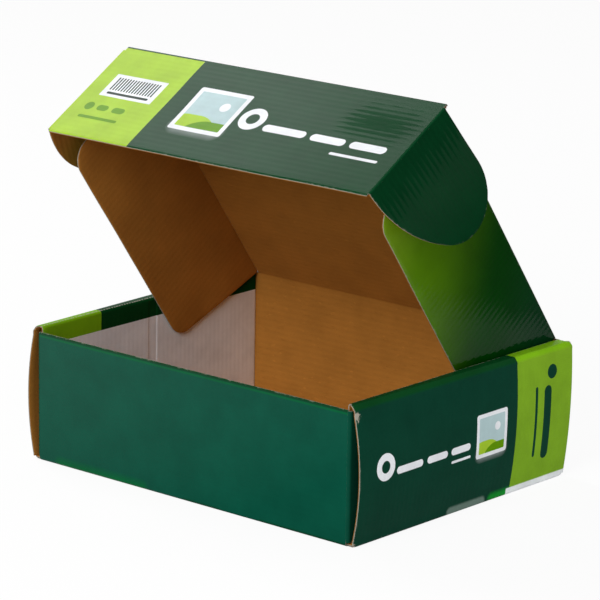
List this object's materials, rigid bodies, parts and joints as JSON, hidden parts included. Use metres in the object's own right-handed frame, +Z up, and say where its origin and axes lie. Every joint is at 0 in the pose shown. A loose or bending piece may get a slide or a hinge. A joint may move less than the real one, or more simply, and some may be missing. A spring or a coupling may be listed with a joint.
{
  "type": "shipping box",
  "caption": "Shallow folding mailer box of printed corrugated board, with double side walls, a hinged lid, dust flaps and a front flap with round ears.",
  "frame": {"origin": "middle of the tray's footprint, on the surface it stands on", "axes": "+X along the front wall to the right, +Y from the front wall to the hinged back wall, +Z up"},
  "size_m": [0.292, 0.2, 0.2494],
  "materials": {
    "tray": "satin",
    "lid": "satin",
    "tuck_flap": "satin",
    "right_ear": "satin",
    "left_ear": "satin",
    "right_dust_flap": "satin",
    "left_dust_flap": "satin"
  },
  "bodies": {
    "tray": {"tray": "tray"},
    "lid": {"lid": "lid"},
    "tuck_flap": {"tuck_flap": "tuck_flap"},
    "right_ear": {"right_ear": "right_ear"},
    "left_ear": {"left_ear": "left_ear"},
    "right_dust_flap": {"right_dust_flap": "right_dust_flap"},
    "left_dust_flap": {"left_dust_flap": "left_dust_flap"}
  },
  "joints": [
    {"name": "lid_hinge", "type": "hinge", "parent": "tray", "child": "lid", "pos_m": [0, 0.0992, 0.0851], "axis": [-1, 0, 0], "range_deg": [-30, 125.9]},
    {"name": "tuck_fold", "type": "hinge", "parent": "lid", "child": "tuck_flap", "pos_m": [0, -0.01913, 0.24857], "axis": [-1, 0, 0], "range_deg": [-15, 85.2]},
    {"name": "right_ear_fold", "type": "hinge", "parent": "tuck_flap", "child": "right_ear", "pos_m": [0.1276, -0.01913, 0.24857], "axis": [0, -0.8563, -0.5165], "range_deg": [-15, 75]},
    {"name": "left_ear_fold", "type": "hinge", "parent": "tuck_flap", "child": "left_ear", "pos_m": [-0.1276, -0.01913, 0.24857], "axis": [0, 0.8563, 0.5165], "range_deg": [-15, 75]},
    {"name": "right_dust_fold", "type": "hinge", "parent": "lid", "child": "right_dust_flap", "pos_m": [0.1209, 0.09855, 0.08463], "axis": [0, 0.5864, -0.81], "range_deg": [0, 80]},
    {"name": "left_dust_fold", "type": "hinge", "parent": "lid", "child": "left_dust_flap", "pos_m": [-0.1209, 0.09855, 0.08463], "axis": [0, -0.5864, 0.81], "range_deg": [0, 80]}
  ]
}
